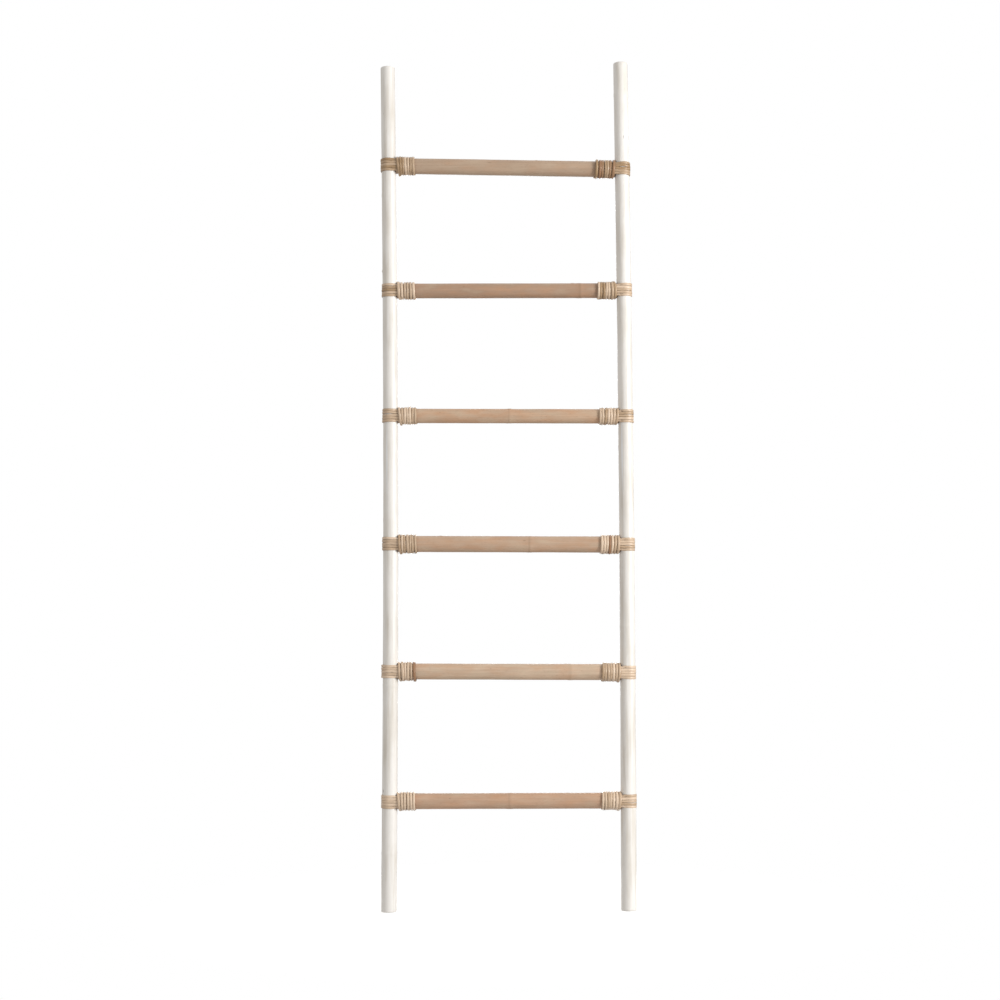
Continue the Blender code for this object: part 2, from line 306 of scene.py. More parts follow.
@dataclass(frozen=True)
class SandedCane(Finish):
    """Peeled rattan core, sanded and left bare: matt, with long streaks, pores and node rings.

    Attributes:
        dark: The wood in its streaks, pores and scars.
        warm: The wood in its reddish patches.
        pale: The wood in its faded patches.
        dirt: Painted shade, a dark line where the cane meets a lashing or a pole.
        patchy: How strongly the patches show.
        ringed: How strongly a node ring shows.
        marks: Scars.
        streak: Size of a streak. The rungs lie level, so every grain is drawn out along X.
        cloud: Size of the uneven patches of tone.
        patch: Size of a warm or a pale patch.
        pore: Size of a pore, drawn coarse enough to show.
    """

    dark: str = "#8f6f56"
    warm: str = "#c8946c"
    pale: str = "#c9b69a"
    dirt: str = "#4b3323"
    patchy: float = 0.45
    ringed: float = 0.35
    marks: tuple[Mark, ...] = ()
    streak: Triple = (130 * MM, 2.4 * MM, 2.4 * MM)
    cloud: Triple = (60 * MM, 18 * MM, 18 * MM)
    patch: Triple = (45 * MM, 14 * MM, 14 * MM)
    pore: Triple = (7 * MM, 0.7 * MM, 0.7 * MM)

    def material(self) -> bpy.types.Material:
        """Mix the bare cane, with streaks and pores along it and scars at its rings.

        Returns:
            The material.
        """
        tree, shader, place = self.start()
        streaks = add(tree, NOISE, {
            "Vector": stretched(place, self.streak), "Scale": 1.0, "Detail": 5.0, "Roughness": 0.6})
        clouds = add(tree, NOISE, {"Vector": stretched(place, self.cloud), "Scale": 1.0, "Detail": 2.0})
        mixed = add(tree, MATH, {0: streaks, 1: 0.6}, operation="MULTIPLY")
        mixed = add(tree, MATH, {0: clouds, 1: 0.4, 2: mixed}, operation="MULTIPLY_ADD")
        deep = add(tree, RANGE, {
            "Value": mixed, "From Min": 0.33, "From Max": 0.68, "To Min": 0.42, "To Max": 0.0})
        patches = add(tree, NOISE, {"Vector": stretched(place, self.patch), "Scale": 1.0, "Detail": 3.0})
        warmth = add(tree, RANGE, {
            "Value": patches, "From Min": 0.46, "From Max": 0.7, "To Max": self.patchy})
        fading = add(tree, RANGE, {
            "Value": patches, "From Min": 0.46, "From Max": 0.25, "To Max": self.patchy})
        grains = add(tree, NOISE, {"Vector": stretched(place, self.pore), "Scale": 1.0, "Detail": 2.0})
        pores = add(tree, RANGE, {"Value": grains, "From Min": 0.62, "From Max": 0.74, "To Max": 0.55})
        ring = add(tree, ATTRIBUTE, attribute_name="ring")
        scar = add(tree, MATH, {0: ring.outputs["Fac"], 1: self.ringed}, operation="MULTIPLY")
        scars = add(tree, MATH, {0: pores, 1: scar}, operation="MAXIMUM")
        rise = add(tree, MATH, {0: streaks, 1: pores}, operation="SUBTRACT")
        bump = add(tree, "ShaderNodeBump", {"Strength": 0.4, "Distance": 0.2 * MM, "Height": rise})
        # Painted shade: the cane is darkened at its ends, in the gap where it goes under a lashing or
        # against a pole.
        ends = add(tree, ATTRIBUTE, attribute_name="dirt")
        dirt = add(tree, RANGE, {"Value": ends.outputs["Fac"], "From Max": 0.6, "To Max": 0.85})
        colour = self.layers(
            tree, (deep, self.dark), (warmth, self.warm), (fading, self.pale), (scars, self.dark),
            (dirt, self.dirt), *(mark.layer(place) for mark in self.marks))
        return self.end(shader, Base_Color=colour, Normal=bump.outputs[0])


@dataclass(frozen=True)
class RattanPeel(Finish):
    """Split rattan skin: smooth and a little glossy outside, straw to tan, with painted shade along its
    edges.

    Attributes:
        tan: Peel of a browner strip.
        brown: The brownest peel.
        edge: Painted shade along the strip's edges, where turns meet, and the colour of its dark flecks.
    """

    tan: str = "#ad8d69"
    brown: str = "#9c6f50"
    edge: str = "#7c5f42"

    def lines(self, tree: bpy.types.NodeTree, length: float, count: float) -> bpy.types.Node:
        """Noise drawn out along the strip.

        Args:
            tree: The material's tree.
            length: How long its lines are.
            count: How many of them fit round the strip.

        Returns:
            The noise node.
        """
        along = add(tree, ATTRIBUTE, attribute_name="along")
        around = add(tree, ATTRIBUTE, attribute_name="around")
        course = add(tree, MATH, {0: along.outputs["Fac"], 1: 1 / length}, operation="MULTIPLY")
        turn = add(tree, MATH, {0: around.outputs["Fac"], 1: 2 * math.pi}, operation="MULTIPLY")
        rise = add(tree, MATH, {0: turn}, operation="SINE")
        run = add(tree, MATH, {0: turn}, operation="COSINE")
        route = add(tree, "ShaderNodeCombineXYZ", {"X": course, "Y": rise, "Z": run})
        # A circle of radius 1 is about six units round.
        radius = count / 6
        spread = add(tree, VECTOR_MATH, {0: route, 1: (1.0, radius, radius)}, operation="MULTIPLY")
        return add(tree, NOISE, {"Vector": spread, "Scale": 1.0, "Detail": 3.0})

    def material(self) -> bpy.types.Material:
        """Mix the peel, whose tone changes from strip to strip and whose fibres run along it.

        Returns:
            The material.
        """
        tree, shader, _ = self.start()
        tone = add(tree, ATTRIBUTE, attribute_name="tone").outputs["Fac"]
        fibres = self.lines(tree, 40 * MM, 12.0)
        threads = self.lines(tree, 9 * MM, 34.0)
        shift = add(tree, MATH, {0: fibres, 1: 0.9, 2: -0.45}, operation="MULTIPLY_ADD")
        shift = add(tree, MATH, {0: shift, 1: tone}, operation="ADD", use_clamp=True)
        old = add(tree, RANGE, {"Value": tone, "From Min": 1.1, "From Max": 1.8})
        # Painted shade: each strip is darkened along its edges, where it meets the next turn or pass, the
        # more so where it is tanner.
        rim = add(tree, ATTRIBUTE, attribute_name="rim")
        gap_shade_depth = add(tree, MATH, {0: tone, 1: 0.35, 2: 0.5}, operation="MULTIPLY_ADD", use_clamp=True)
        gap_shade = add(tree, RANGE, {
            "Value": rim.outputs["Fac"], "From Min": 0.7, "From Max": 0.98, "To Max": gap_shade_depth})
        flecks = add(tree, RANGE, {"Value": threads, "From Min": 0.58, "From Max": 0.72, "To Max": 0.45})
        relief = add(tree, MATH, {0: threads, 1: 0.6, 2: fibres}, operation="MULTIPLY_ADD")
        bump = add(tree, "ShaderNodeBump", {"Strength": 0.6, "Distance": 0.25 * MM, "Height": relief})
        gloss = add(tree, RANGE, {
            "Value": fibres, "From Min": 0.3, "From Max": 0.7, "To Min": self.roughness - 0.06,
            "To Max": self.roughness + 0.1})
        colour = self.layers(
            tree, (shift, self.tan), (old, self.brown), (gap_shade, self.edge), (flecks, self.edge))
        return self.end(shader, Base_Color=colour, Roughness=gloss.outputs[0], Normal=bump.outputs[0])


@dataclass(frozen=True)
class ZincSteel(Finish):
    """Drawn steel wire with a zinc coat: grey, half bright, with a fine mottled spangle.

    Attributes:
        dull: The spangle's darker grains.
        spangle: Size of a grain.
    """

    dull: str = "#8e9094"
    spangle: Triple = (0.8 * MM, 0.8 * MM, 0.8 * MM)

    def material(self) -> bpy.types.Material:
        """Mix the plated steel.

        Returns:
            The material.
        """
        tree, shader, place = self.start()
        spangle = add(tree, "ShaderNodeTexVoronoi", {
            "Vector": stretched(place, self.spangle), "Scale": 1.0})
        gloss = add(tree, RANGE, {
            "Value": spangle, "To Min": self.roughness - 0.08, "To Max": self.roughness + 0.1})
        bump = add(tree, "ShaderNodeBump", {"Strength": 0.2, "Distance": 0.05 * MM, "Height": spangle})
        shader.inputs["Metallic"].default_value = 1.0
        colour = self.layers(tree, (spangle, self.dull))
        return self.end(shader, Base_Color=colour, Roughness=gloss.outputs[0], Normal=bump.outputs[0])


# ------------------------------------------------------------------------------ geometry recipes


class Recipe:
    """A Geometry Nodes tree with named inputs, run on a path and read back as a plain mesh."""

    def __init__(self, name: str, sizes: dict[str, Any]) -> None:
        """Make the tree's interface.

        Args:
            name: The tree's name.
            sizes: Each size input and its default, a number or three, in metres where it is a length.
        """
        self.tree = bpy.data.node_groups.new(name, "GeometryNodeTree")
        face = self.tree.interface
        face.new_socket("Path", in_out="INPUT", socket_type="NodeSocketGeometry")
        self.keys: dict[str, str] = {}
        for size, value in sizes.items():
            kind = "NodeSocketVector" if isinstance(value, tuple) else "NodeSocketFloat"
            socket = face.new_socket(size, in_out="INPUT", socket_type=kind)
            socket.default_value = value
            self.keys[size] = socket.identifier
        socket = face.new_socket("Material", in_out="INPUT", socket_type="NodeSocketMaterial")
        self.keys["Material"] = socket.identifier
        face.new_socket("Piece", in_out="OUTPUT", socket_type="NodeSocketGeometry")
        self.inputs = add(self.tree, "NodeGroupInput").outputs

    def bumps(self, place: bpy.types.Node, scale: float, detail: float) -> bpy.types.Node:
        """Small random bumps, as high as the tree's input Relief.

        Args:
            place: The coordinates that they follow.
            scale: How many of them there are in a metre.
            detail: How rough they are.

        Returns:
            The node that gives their height.
        """
        bumps = add(self.tree, NOISE, {
            "Vector": place, "W": self.inputs["Seed"], "Scale": scale, "Detail": detail},
            noise_dimensions="4D")
        bumps = add(self.tree, MATH, {0: bumps, 1: 0.5}, operation="SUBTRACT")
        return add(self.tree, MATH, {0: bumps, 1: self.inputs["Relief"]}, operation="MULTIPLY")

    def end(self, swept: bpy.types.Node, rise: bpy.types.Node) -> None:
        """Finish the tree: its bumps, smooth sides, flat caps, the material, and no instance left.

        Args:
            swept: The swept mesh.
            rise: How far its skin is pushed out.
        """
        normal = add(self.tree, "GeometryNodeInputNormal")
        offset = add(self.tree, VECTOR_MATH, {0: normal, "Scale": rise}, operation="SCALE")
        uneven = add(self.tree, "GeometryNodeSetPosition", {"Geometry": swept, "Offset": offset})
        corners = add(self.tree, "GeometryNodeInputMeshFaceNeighbors")
        sides = add(self.tree, "FunctionNodeCompare", {2: corners.outputs["Vertex Count"], 3: 5},
                    data_type="INT", operation="LESS_THAN")
        smooth = add(self.tree, "GeometryNodeSetShadeSmooth", {"Geometry": uneven, "Shade Smooth": sides})
        real = add(self.tree, "GeometryNodeRealizeInstances", {"Geometry": smooth})
        dressed = add(self.tree, "GeometryNodeSetMaterial", {
            "Geometry": real, "Material": self.inputs["Material"]})
        add(self.tree, "NodeGroupOutput", {0: dressed})

    def run(self, name: str, path: bpy.types.Mesh, **values: Any) -> bpy.types.Object:
        """Run the tree on a path.

        Args:
            name: The new piece's name.
            path: The mesh that holds the path's points and their attributes.
            **values: The inputs that differ from their defaults, with spaces as underscores.

        Returns:
            The piece, as a plain mesh object at the origin.
        """
        source = bpy.data.objects.new(name + "_path", path)
        bpy.context.scene.collection.objects.link(source)
        modifier = source.modifiers.new(self.tree.name, "NODES")
        modifier.node_group = self.tree
        for key, value in values.items():
            modifier[self.keys[key.replace("_", " ")]] = value
        graph = bpy.context.evaluated_depsgraph_get()
        made = bpy.data.meshes.new_from_object(
            source.evaluated_get(graph), preserve_all_data_layers=True, depsgraph=graph)
        bpy.data.objects.remove(source)
        bpy.data.meshes.remove(path)
        made.name = name
        piece = bpy.data.objects.new(name, made)
        bpy.context.scene.collection.objects.link(piece)
        return piece


def path_mesh(name: str, points: list[Vector], **attributes: list) -> bpy.types.Mesh:
    """Make a path that a recipe can sweep along.

    Args:
        name: The mesh's name.
        points: The path's points, in order.
        **attributes: A number or a vector for each point, by attribute name.

    Returns:
        A mesh of points and edges.
    """
    mesh = bpy.data.meshes.new(name)
    mesh.from_pydata([tuple(p) for p in points], [(i, i + 1) for i in range(len(points) - 1)], [])
    for key, values in attributes.items():
        if isinstance(values[0], float):
            mesh.attributes.new(key, "FLOAT", "POINT").data.foreach_set("value", values)
        else:
            flat = [number for value in values for number in value]
            mesh.attributes.new(key, "FLOAT_VECTOR", "POINT").data.foreach_set("vector", flat)
    return mesh


class CaneRecipe(Recipe):
    """Turns a path into a rattan cane with node rings, eased ends and a slightly uneven skin."""

    def __init__(self) -> None:
        """Build the tree."""
        super().__init__("cane", {
            "Radius": 15 * MM, "Taper": 0.0, "Ring Spacing": 0.3, "Ring Offset": 0.1, "Ring Rise": 0.4 * MM,
            "Ring Width": 6 * MM, "Scar Width": 1.2 * MM, "Easing": 2 * MM, "Wobble": 0.3 * MM,
            "Relief": 0.12 * MM, "Grain": (1.0, 1.0, 1.0), "Seed": 0.0, "Dirt Reach": 0.0,
            "Nub": (0.0, 0.0, 0.0), "Nub Reach": 3 * MM, "Nub Rise": 0.0})
        tree, size = self.tree, self.inputs
        along = add(tree, "GeometryNodeSplineParameter")
        length = add(tree, "GeometryNodeSplineLength")
        from_ring = add(tree, MATH, {0: along.outputs["Length"], 1: size["Ring Offset"]},
                        operation="SUBTRACT")
        half = add(tree, MATH, {0: size["Ring Spacing"], 1: 0.5}, operation="MULTIPLY")
        away = add(tree, MATH, {0: from_ring, 1: half}, operation="PINGPONG")
        swell = add(tree, RANGE, {
            "Value": away, "From Max": size["Ring Width"], "To Min": size["Ring Rise"], "To Max": 0.0},
            interpolation_type="SMOOTHERSTEP")
        groove = add(tree, RANGE, {
            "Value": away, "From Max": size["Scar Width"], "To Min": 1.0, "To Max": 0.0},
            interpolation_type="SMOOTHSTEP")
        dip = add(tree, MATH, {0: size["Ring Rise"], 1: -0.5}, operation="MULTIPLY")
        swell = add(tree, MATH, {0: groove, 1: dip, 2: swell}, operation="MULTIPLY_ADD")
        seeded = add(tree, MATH, {0: along.outputs["Length"], 1: size["Seed"]}, operation="ADD")
        drift = add(tree, NOISE, {"W": seeded, "Scale": 9.0, "Detail": 2.0}, noise_dimensions="1D")
        drift = add(tree, MATH, {0: drift, 1: 0.5}, operation="SUBTRACT")
        swell = add(tree, MATH, {0: drift, 1: size["Wobble"], 2: swell}, operation="MULTIPLY_ADD")
        middle = add(tree, MATH, {0: along.outputs["Factor"], 1: 0.5}, operation="SUBTRACT")
        taper = add(tree, MATH, {0: middle, 1: size["Taper"], 2: swell}, operation="MULTIPLY_ADD")
        radius = add(tree, MATH, {0: size["Radius"], 1: taper}, operation="ADD")
        to_end = add(tree, MATH, {0: length.outputs["Length"], 1: along.outputs["Length"]},
                     operation="SUBTRACT")
        from_end = add(tree, MATH, {0: to_end, 1: along.outputs["Length"]}, operation="MINIMUM")
        to_end = add(tree, MATH, {0: from_end, 1: size["Easing"]}, operation="MINIMUM")
        inset = add(tree, MATH, {0: size["Easing"], 1: to_end}, operation="SUBTRACT")
        inset = add(tree, MATH, {0: inset, 1: 2.0}, operation="POWER")
        square = add(tree, MATH, {0: size["Easing"], 1: 2.0}, operation="POWER")
        rounding = add(tree, MATH, {0: square, 1: inset}, operation="SUBTRACT")
        rounding = add(tree, MATH, {0: rounding}, operation="SQRT")
        rounding = add(tree, MATH, {0: rounding, 1: size["Easing"]}, operation="SUBTRACT")
        radius = add(tree, MATH, {0: radius, 1: rounding}, operation="ADD")
        # Painted shade at both ends of the cane, fading out over a short reach, for the material to darken.
        dirt = add(tree, RANGE, {"Value": from_end, "From Min": size["Dirt Reach"], "From Max": 0.0})
        free = add(tree, RANGE, {"Value": from_end, "From Max": size["Easing"]})
        curve = add(tree, "GeometryNodeMeshToCurve", {"Mesh": size["Path"]})
        for name, value in (("ring", groove), ("dirt", dirt), ("free", free)):
            curve = add(tree, STORE, {"Geometry": curve, "Name": name, "Value": value},
                        data_type="FLOAT", domain="POINT")
        circle = add(tree, "GeometryNodeCurvePrimitiveCircle", {"Resolution": 48, "Radius": 1.0})
        swept = add(tree, "GeometryNodeCurveToMesh", {
            "Curve": curve, "Profile Curve": circle, "Scale": radius, "Fill Caps": True})
        place = add(tree, "GeometryNodeInputPosition")
        drawn = add(tree, VECTOR_MATH, {0: place, 1: size["Grain"]}, operation="MULTIPLY")
        to_nub = add(tree, VECTOR_MATH, {0: place, 1: size["Nub"]}, operation="DISTANCE")
        nub = add(tree, RANGE, {
            "Value": to_nub.outputs["Value"], "From Max": size["Nub Reach"], "To Min": size["Nub Rise"],
            "To Max": 0.0}, interpolation_type="SMOOTHSTEP")
        rise = add(tree, MATH, {0: self.bumps(drawn, scale=90.0, detail=2.0), 1: nub}, operation="ADD")
        free = add(tree, "GeometryNodeInputNamedAttribute", {"Name": "free"}, data_type="FLOAT")
        rise = add(tree, MATH, {0: rise, 1: free}, operation="MULTIPLY")
        self.end(swept, rise)


class PeelRecipe(Recipe):
    """Sweeps the section of a peel strip, flat inside and crowned outside, along a path.

    The path's points hold outward, the way the skin faces, trim, the share of the full width, and
    tone, how tan the strip is there. The mesh adds along, around and rim for the material.
    """

    def __init__(self) -> None:
        """Build the tree."""
        super().__init__("peel_strip", {
            "Width": 6 * MM, "Thickness": 2 * MM, "Crown": 0.7, "Relief": 0.15 * MM, "Seed": 0.0})
        tree, size = self.tree, self.inputs
        curve = add(tree, "GeometryNodeMeshToCurve", {"Mesh": size["Path"]})
        outward = add(tree, "GeometryNodeInputNamedAttribute", {"Name": "outward"},
                      data_type="FLOAT_VECTOR")
        curve = add(tree, "GeometryNodeSetCurveNormal", {"Curve": curve, "Normal": outward}, mode="FREE")
        along = add(tree, "GeometryNodeSplineParameter")
        curve = add(tree, STORE, {
            "Geometry": curve, "Name": "along", "Value": along.outputs["Length"]},
            data_type="FLOAT", domain="POINT")
        circle = add(tree, "GeometryNodeCurvePrimitiveCircle", {"Resolution": 16, "Radius": 1.0})
        around = add(tree, "GeometryNodeSplineParameter")
        profile = add(tree, STORE, {
            "Geometry": circle, "Name": "around", "Value": around.outputs["Factor"]},
            data_type="FLOAT", domain="POINT")
        place = add(tree, "ShaderNodeSeparateXYZ", {0: add(tree, "GeometryNodeInputPosition")})
        across = add(tree, MATH, {0: place.outputs["Y"]}, operation="ABSOLUTE")
        profile = add(tree, STORE, {
            "Geometry": profile, "Name": "rim", "Value": across}, data_type="FLOAT", domain="POINT")
        spread = add(tree, MATH, {0: across, 1: 0.75}, operation="POWER")
        sign = add(tree, MATH, {0: place.outputs["Y"]}, operation="SIGN")
        half = add(tree, MATH, {0: size["Width"], 1: 0.5}, operation="MULTIPLY")
        spread = add(tree, MATH, {0: spread, 1: sign}, operation="MULTIPLY")
        spread = add(tree, MATH, {0: spread, 1: half}, operation="MULTIPLY")
        rise = add(tree, MATH, {0: place.outputs["X"]}, operation="ABSOLUTE")
        crown = add(tree, MATH, {0: rise, 1: size["Crown"]}, operation="MULTIPLY")
        back = add(tree, MATH, {0: rise, 1: 0.3}, operation="POWER")
        share = add(tree, MATH, {0: size["Crown"], 1: 1.0}, operation="SUBTRACT")
        back = add(tree, MATH, {0: back, 1: share}, operation="MULTIPLY")
        outside = add(tree, MATH, {0: place.outputs["X"], 1: 0.0}, operation="GREATER_THAN")
        depth = add(tree, MIX, {"Factor": outside, 2: back, 3: crown}, data_type="FLOAT")
        depth = add(tree, MATH, {0: depth, 1: size["Thickness"]}, operation="MULTIPLY")
        section = add(tree, "ShaderNodeCombineXYZ", {"X": depth, "Y": spread})
        profile = add(tree, "GeometryNodeSetPosition", {"Geometry": profile, "Position": section})
        trim = add(tree, "GeometryNodeInputNamedAttribute", {"Name": "trim"}, data_type="FLOAT")
        swept = add(tree, "GeometryNodeCurveToMesh", {
            "Curve": curve, "Profile Curve": profile, "Scale": trim, "Fill Caps": True})
        place = add(tree, "GeometryNodeInputPosition")
        self.end(swept, self.bumps(place, scale=260.0, detail=1.0))


# --------------------------------------------------------------------------------- the CAD's frame


@dataclass(frozen=True)
class Joint:
    """The place where a rung's end meets a pole, read from the CAD.

    Attributes:
        number: The rung's number, from the bottom.
        side: The pole's side.
        place: Point where the two axes cross.
        along: Direction from the pole towards the rung's middle.
        rung_radius: The rung's radius.
        pole_radius: The pole's radius.
    """

    number: int
    side: Side
    place: Vector
    along: Vector
    rung_radius: float
    pole_radius: float

    @property
    def name(self) -> str:
        """The end of the names of this joint's pieces."""
        return f"{self.number}_{self.side.word}"

    @property
    def upright(self) -> Matrix:
        """Frame that follows the pole: X towards the rung's middle, Z up."""
        facing = 0.0 if self.side is Side.LEFT else math.pi
        return Matrix.Translation(self.place) @ Matrix.Rotation(facing, 4, "Z")

    @property
    def tilt(self) -> Matrix:
        """Turn from the upright frame to the rung's slope."""
        return Matrix.Rotation(math.asin(-self.along.z), 4, "Y")


def node_middle(node: str) -> Vector:
    """Middle of a CAD node's box."""
    low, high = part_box(node)
    return (Vector(low) + Vector(high)) / 2


def read_joint(number: int, side: Side) -> Joint:
    """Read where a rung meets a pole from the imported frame.

    Args:
        number: The rung's number.
        side: The pole's side.

    Returns:
        The joint.
    """
    here = node_middle(f"winding_{number}_{side.word}")
    other = Side.RIGHT if side is Side.LEFT else Side.LEFT
    there = node_middle(f"winding_{number}_{other.word}")
    along = (there - here).normalized()
    beside = 20 * MM
    mesh = frame["nodes"][f"pole_{side.word}"].data
    across = [v.co.x for v in mesh.vertices if abs(v.co.z - here.z) < beside]
    centre = (min(across) + max(across)) / 2
    place = here + along * ((centre - here.x) / along.x)
    low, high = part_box(f"rung_{number}")
    pole_low, pole_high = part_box(f"pole_{side.word}")
    to_flat = (pole_high[1] - pole_low[1]) / 2
    to_corner = to_flat / math.cos(math.pi / POLE_SIDES)
    return Joint(number, side, place, along, (high[1] - low[1]) / 2, to_corner)


# -------------------------------------------------------------------------------------- the canes


def cane_stations(length: float, step: float, easing: float) -> list[float]:
    """Distances along a cane at which it gets a ring of points, closer together at its eased ends.

    Args:
        length: The cane's length.
        step: Spacing away from the ends.
        easing: Radius of its end edges.

    Returns:
        The distances, from 0 to the length.
    """
    ease = [easing * (1 - math.cos(turn)) for turn in np.linspace(0, math.pi / 2, 6)]
    middle = list(np.linspace(easing, length - easing, max(2, round((length - 2 * easing) / step))))
    return ease[:-1] + middle + [length - d for d in reversed(ease[:-1])]


@dataclass(frozen=True)
class Blemish:
    """A stain, or the highlight of a crease painted in as a white line, on the front of a pole.

    Attributes:
        number: The joint that its height is counted from.
        rise: Height of its middle over that joint.
        across: Its place across the pole, from -1, the left edge, to 1.
        size: Its half sizes along X, Y and Z.
        strength: How much of it shows.
        ragged: How ragged its edge is.
        colour: Its colour, as sRGB hex.
    """

    number: int
    rise: float
    across: float
    size: Triple = (1.2 * MM, 4 * MM, 5 * MM)
    strength: float = 0.7
    ragged: float = 0.9
    colour: str = "#7d7268"


@dataclass
class Pole:
    """One of the two upright canes, painted white.

    Attributes:
        side: Which pole it is.
        joints: Its joints, bottom to top.
        ring_offset: Height of its lowest node ring.
        ring_spacing: Length of the cane between rings.
        nub: The knot on it: the number of a joint, its height over that joint and its place across.
        blemishes: Its grey stain, and a painted highlight along its long crease.
        taper: Half of how much slimmer its radius is at the top than at the foot.
        easing: Radius of its end edges.
        step: Distance between the points of its axis.
        seed: Start of its random unevenness.
    """

    side: Side
    joints: list[Joint]
    ring_offset: float
    ring_spacing: float
    nub: tuple[int, float, float]
    blemishes: tuple[Blemish, ...]
    taper: float = 0.5 * MM
    easing: float = 2.5 * MM
    step: float = 3.0 * MM
    seed: float = 0.0

    def axis(self) -> list[Vector]:
        """Follow the pole's axis, a smooth curve through its foot, its joints and its top.

        Returns:
            Points of the axis, from the foot up.
        """
        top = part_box(f"pole_{self.side.word}")[1][2]
        foot = next(m for m in frame["record"]["mounts"] if m["name"] == f"foot_{self.side.word}")["pos_m"]
        heights = [0.0] + [joint.place.z for joint in self.joints] + [top]
        across = [foot[0]] + [joint.place.x for joint in self.joints] + [foot[0]]
        curve = np.polyfit(heights, across, deg=4)
        stations = cane_stations(top, self.step, self.easing)
        return [Vector((float(np.polyval(curve, z)), 0.0, z)) for z in stations]

    def surface_place(self, number: int, rise: float, across: float) -> Triple:
        """A place on the front half of the pole's skin.

        Args:
            number: The joint that heights are counted from.
            rise: Height over that joint.
            across: Place across the pole, from -1, its left edge, to 1.

        Returns:
            The place, in the ladder's frame.
        """
        joint = self.joints[number - 1]
        depth = -math.sqrt(max(0.0, 1 - across**2)) * joint.pole_radius
        return (joint.place.x + across * joint.pole_radius, depth, joint.place.z + rise)

    def mark(self, blemish: Blemish) -> Mark:
        """The mark that a blemish leaves on the pole."""
        place = self.surface_place(blemish.number, blemish.rise, blemish.across)
        return Mark(place, blemish.size, blemish.colour, blemish.strength, blemish.ragged)

    def build(self, recipe: CaneRecipe) -> bpy.types.Object:
        """Make the pole and let it stand for its CAD node.

        Args:
            recipe: The cane tree.

        Returns:
            The finished piece.
        """
        node = f"pole_{self.side.word}"
        paint = BrushedPaint(
            f"brushed_white_acrylic_{self.side.word}", "#f6f0e8", 0.42,
            marks=tuple(self.mark(blemish) for blemish in self.blemishes))
        piece = recipe.run(
            f"{node}_cane", path_mesh(node, self.axis()), Radius=self.joints[0].pole_radius - 0.1 * MM,
            Taper=-2 * self.taper, Ring_Spacing=self.ring_spacing, Ring_Offset=self.ring_offset,
            Easing=self.easing, Seed=self.seed, Relief=0.6 * MM, Grain=(1.6, 1.6, 0.13),
            Wobble=0.5 * MM, Nub=self.surface_place(*self.nub), Nub_Reach=4 * MM, Nub_Rise=1.6 * MM,
            Material=paint.material())
        return finished(piece, node)


@dataclass(frozen=True)
class RungChoice:
    """What differs from rung to rung.

    Attributes:
        tone: Its main colour, as sRGB hex.
        ring_offset: Distance from its left end to its node ring.
        nub: Distance from its left joint to the bump on its top side.
        scar: Distance from its left joint to the scar on its front, and the scar's length.
        patchy: How strongly its warm and pale patches show.
        ringed: How strongly its node ring shows.
    """

    tone: str
    ring_offset: float
    nub: float
    scar: tuple[float, float]
    patchy: float = 0.4
    ringed: float = 0.35


@dataclass
class Rung:
    """One of the bare cross canes, between its two joints.

    Attributes:
        left: Its joint at the left pole.
        right: Its joint at the right pole.
        choice: Its colour, and where its node ring, bump and scar are.
        ring_spacing: Length of the cane between rings.
        easing: Radius of its end edges.
        step: Distance between the points of its axis.
    """

    left: Joint
    right: Joint
    choice: RungChoice
    ring_spacing: float = 0.60
    easing: float = 1.0 * MM
    step: float = 3.0 * MM

    def build(self, recipe: CaneRecipe) -> bpy.types.Object:
        """Make the rung and let it stand for its CAD node.

        Args:
            recipe: The cane tree.

        Returns:
            The finished piece.
        """
        node = f"rung_{self.left.number}"
        place, along, radius = self.left.place, self.left.along, self.left.rung_radius
        length = (self.right.place - place).length - 2 * SETBACK
        start = place + along * SETBACK
        points = [start + along * d for d in cane_stations(length, self.step, self.easing)]
        from_left, scar_length = self.choice.scar
        upper_front, top = Vector((0.0, -0.9, 0.4)), Vector((0.0, -0.1, 0.98))
        scar = place + along * from_left + upper_front * radius
        mark = Mark(tuple(scar), (scar_length / 2, 3 * MM, 1.0 * MM), "#7c5f4a", 0.55)
        nub = place + along * self.choice.nub + top * radius
        finish = SandedCane(f"sanded_rattan_{self.left.number}", self.choice.tone, 0.62,
                            patchy=self.choice.patchy, ringed=self.choice.ringed, marks=(mark,))
        piece = recipe.run(
            f"{node}_cane", path_mesh(node, points), Radius=radius - 0.15 * MM,
            Ring_Spacing=self.ring_spacing, Ring_Offset=self.choice.ring_offset, Ring_Rise=0.45 * MM,
            Ring_Width=9 * MM, Scar_Width=2.6 * MM, Easing=self.easing, Seed=3.0 * self.left.number,
            Wobble=0.6 * MM, Relief=0.35 * MM, Grain=(0.13, 1.6, 1.6), Dirt_Reach=3 * MM, Nub=tuple(nub),
            Nub_Reach=5 * MM, Nub_Rise=0.7 * MM, Material=finish.material())
        return finished(piece, node)


def finished(piece: bpy.types.Object, node: str) -> bpy.types.Object:
    """Ride a piece on the ladder's one body and let it stand for its CAD node.

    Args:
        piece: The new piece.
        node: The CAD node that it replaces.

    Returns:
        The same piece.
    """
    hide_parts(node)
    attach(piece, "root")
    LOG.info("%s: %d faces", piece.name, len(piece.data.polygons))
    return piece


# ------------------------------------------------------------------------------------ the lashings


@dataclass(frozen=True)
class Strip:
    """Section of a strip of peel.

    Attributes:
        width: Its width.
        thickness: Its thickness in the middle.
        crown: Share of the thickness that is domed.
    """

    width: float
    thickness: float
    crown: float

    @property
    def seat(self) -> float:
        """Height of the strip's centre line over what it lies on."""
        return (1 - self.crown) * self.thickness + CLEARANCE

    def inputs(self) -> dict[str, float]:
        """The section as inputs of the strip recipe."""
        return {"Width": self.width, "Thickness": self.thickness, "Crown": self.crown}


STRAP_STRIP = Strip(5.4 * MM, 1.25 * MM, 0.82)
STRAP_PITCH = 5.3 * MM  # From one pass of the strap to the next.
WRAP_STRIP = Strip(5.5 * MM, 2.2 * MM, 0.84)


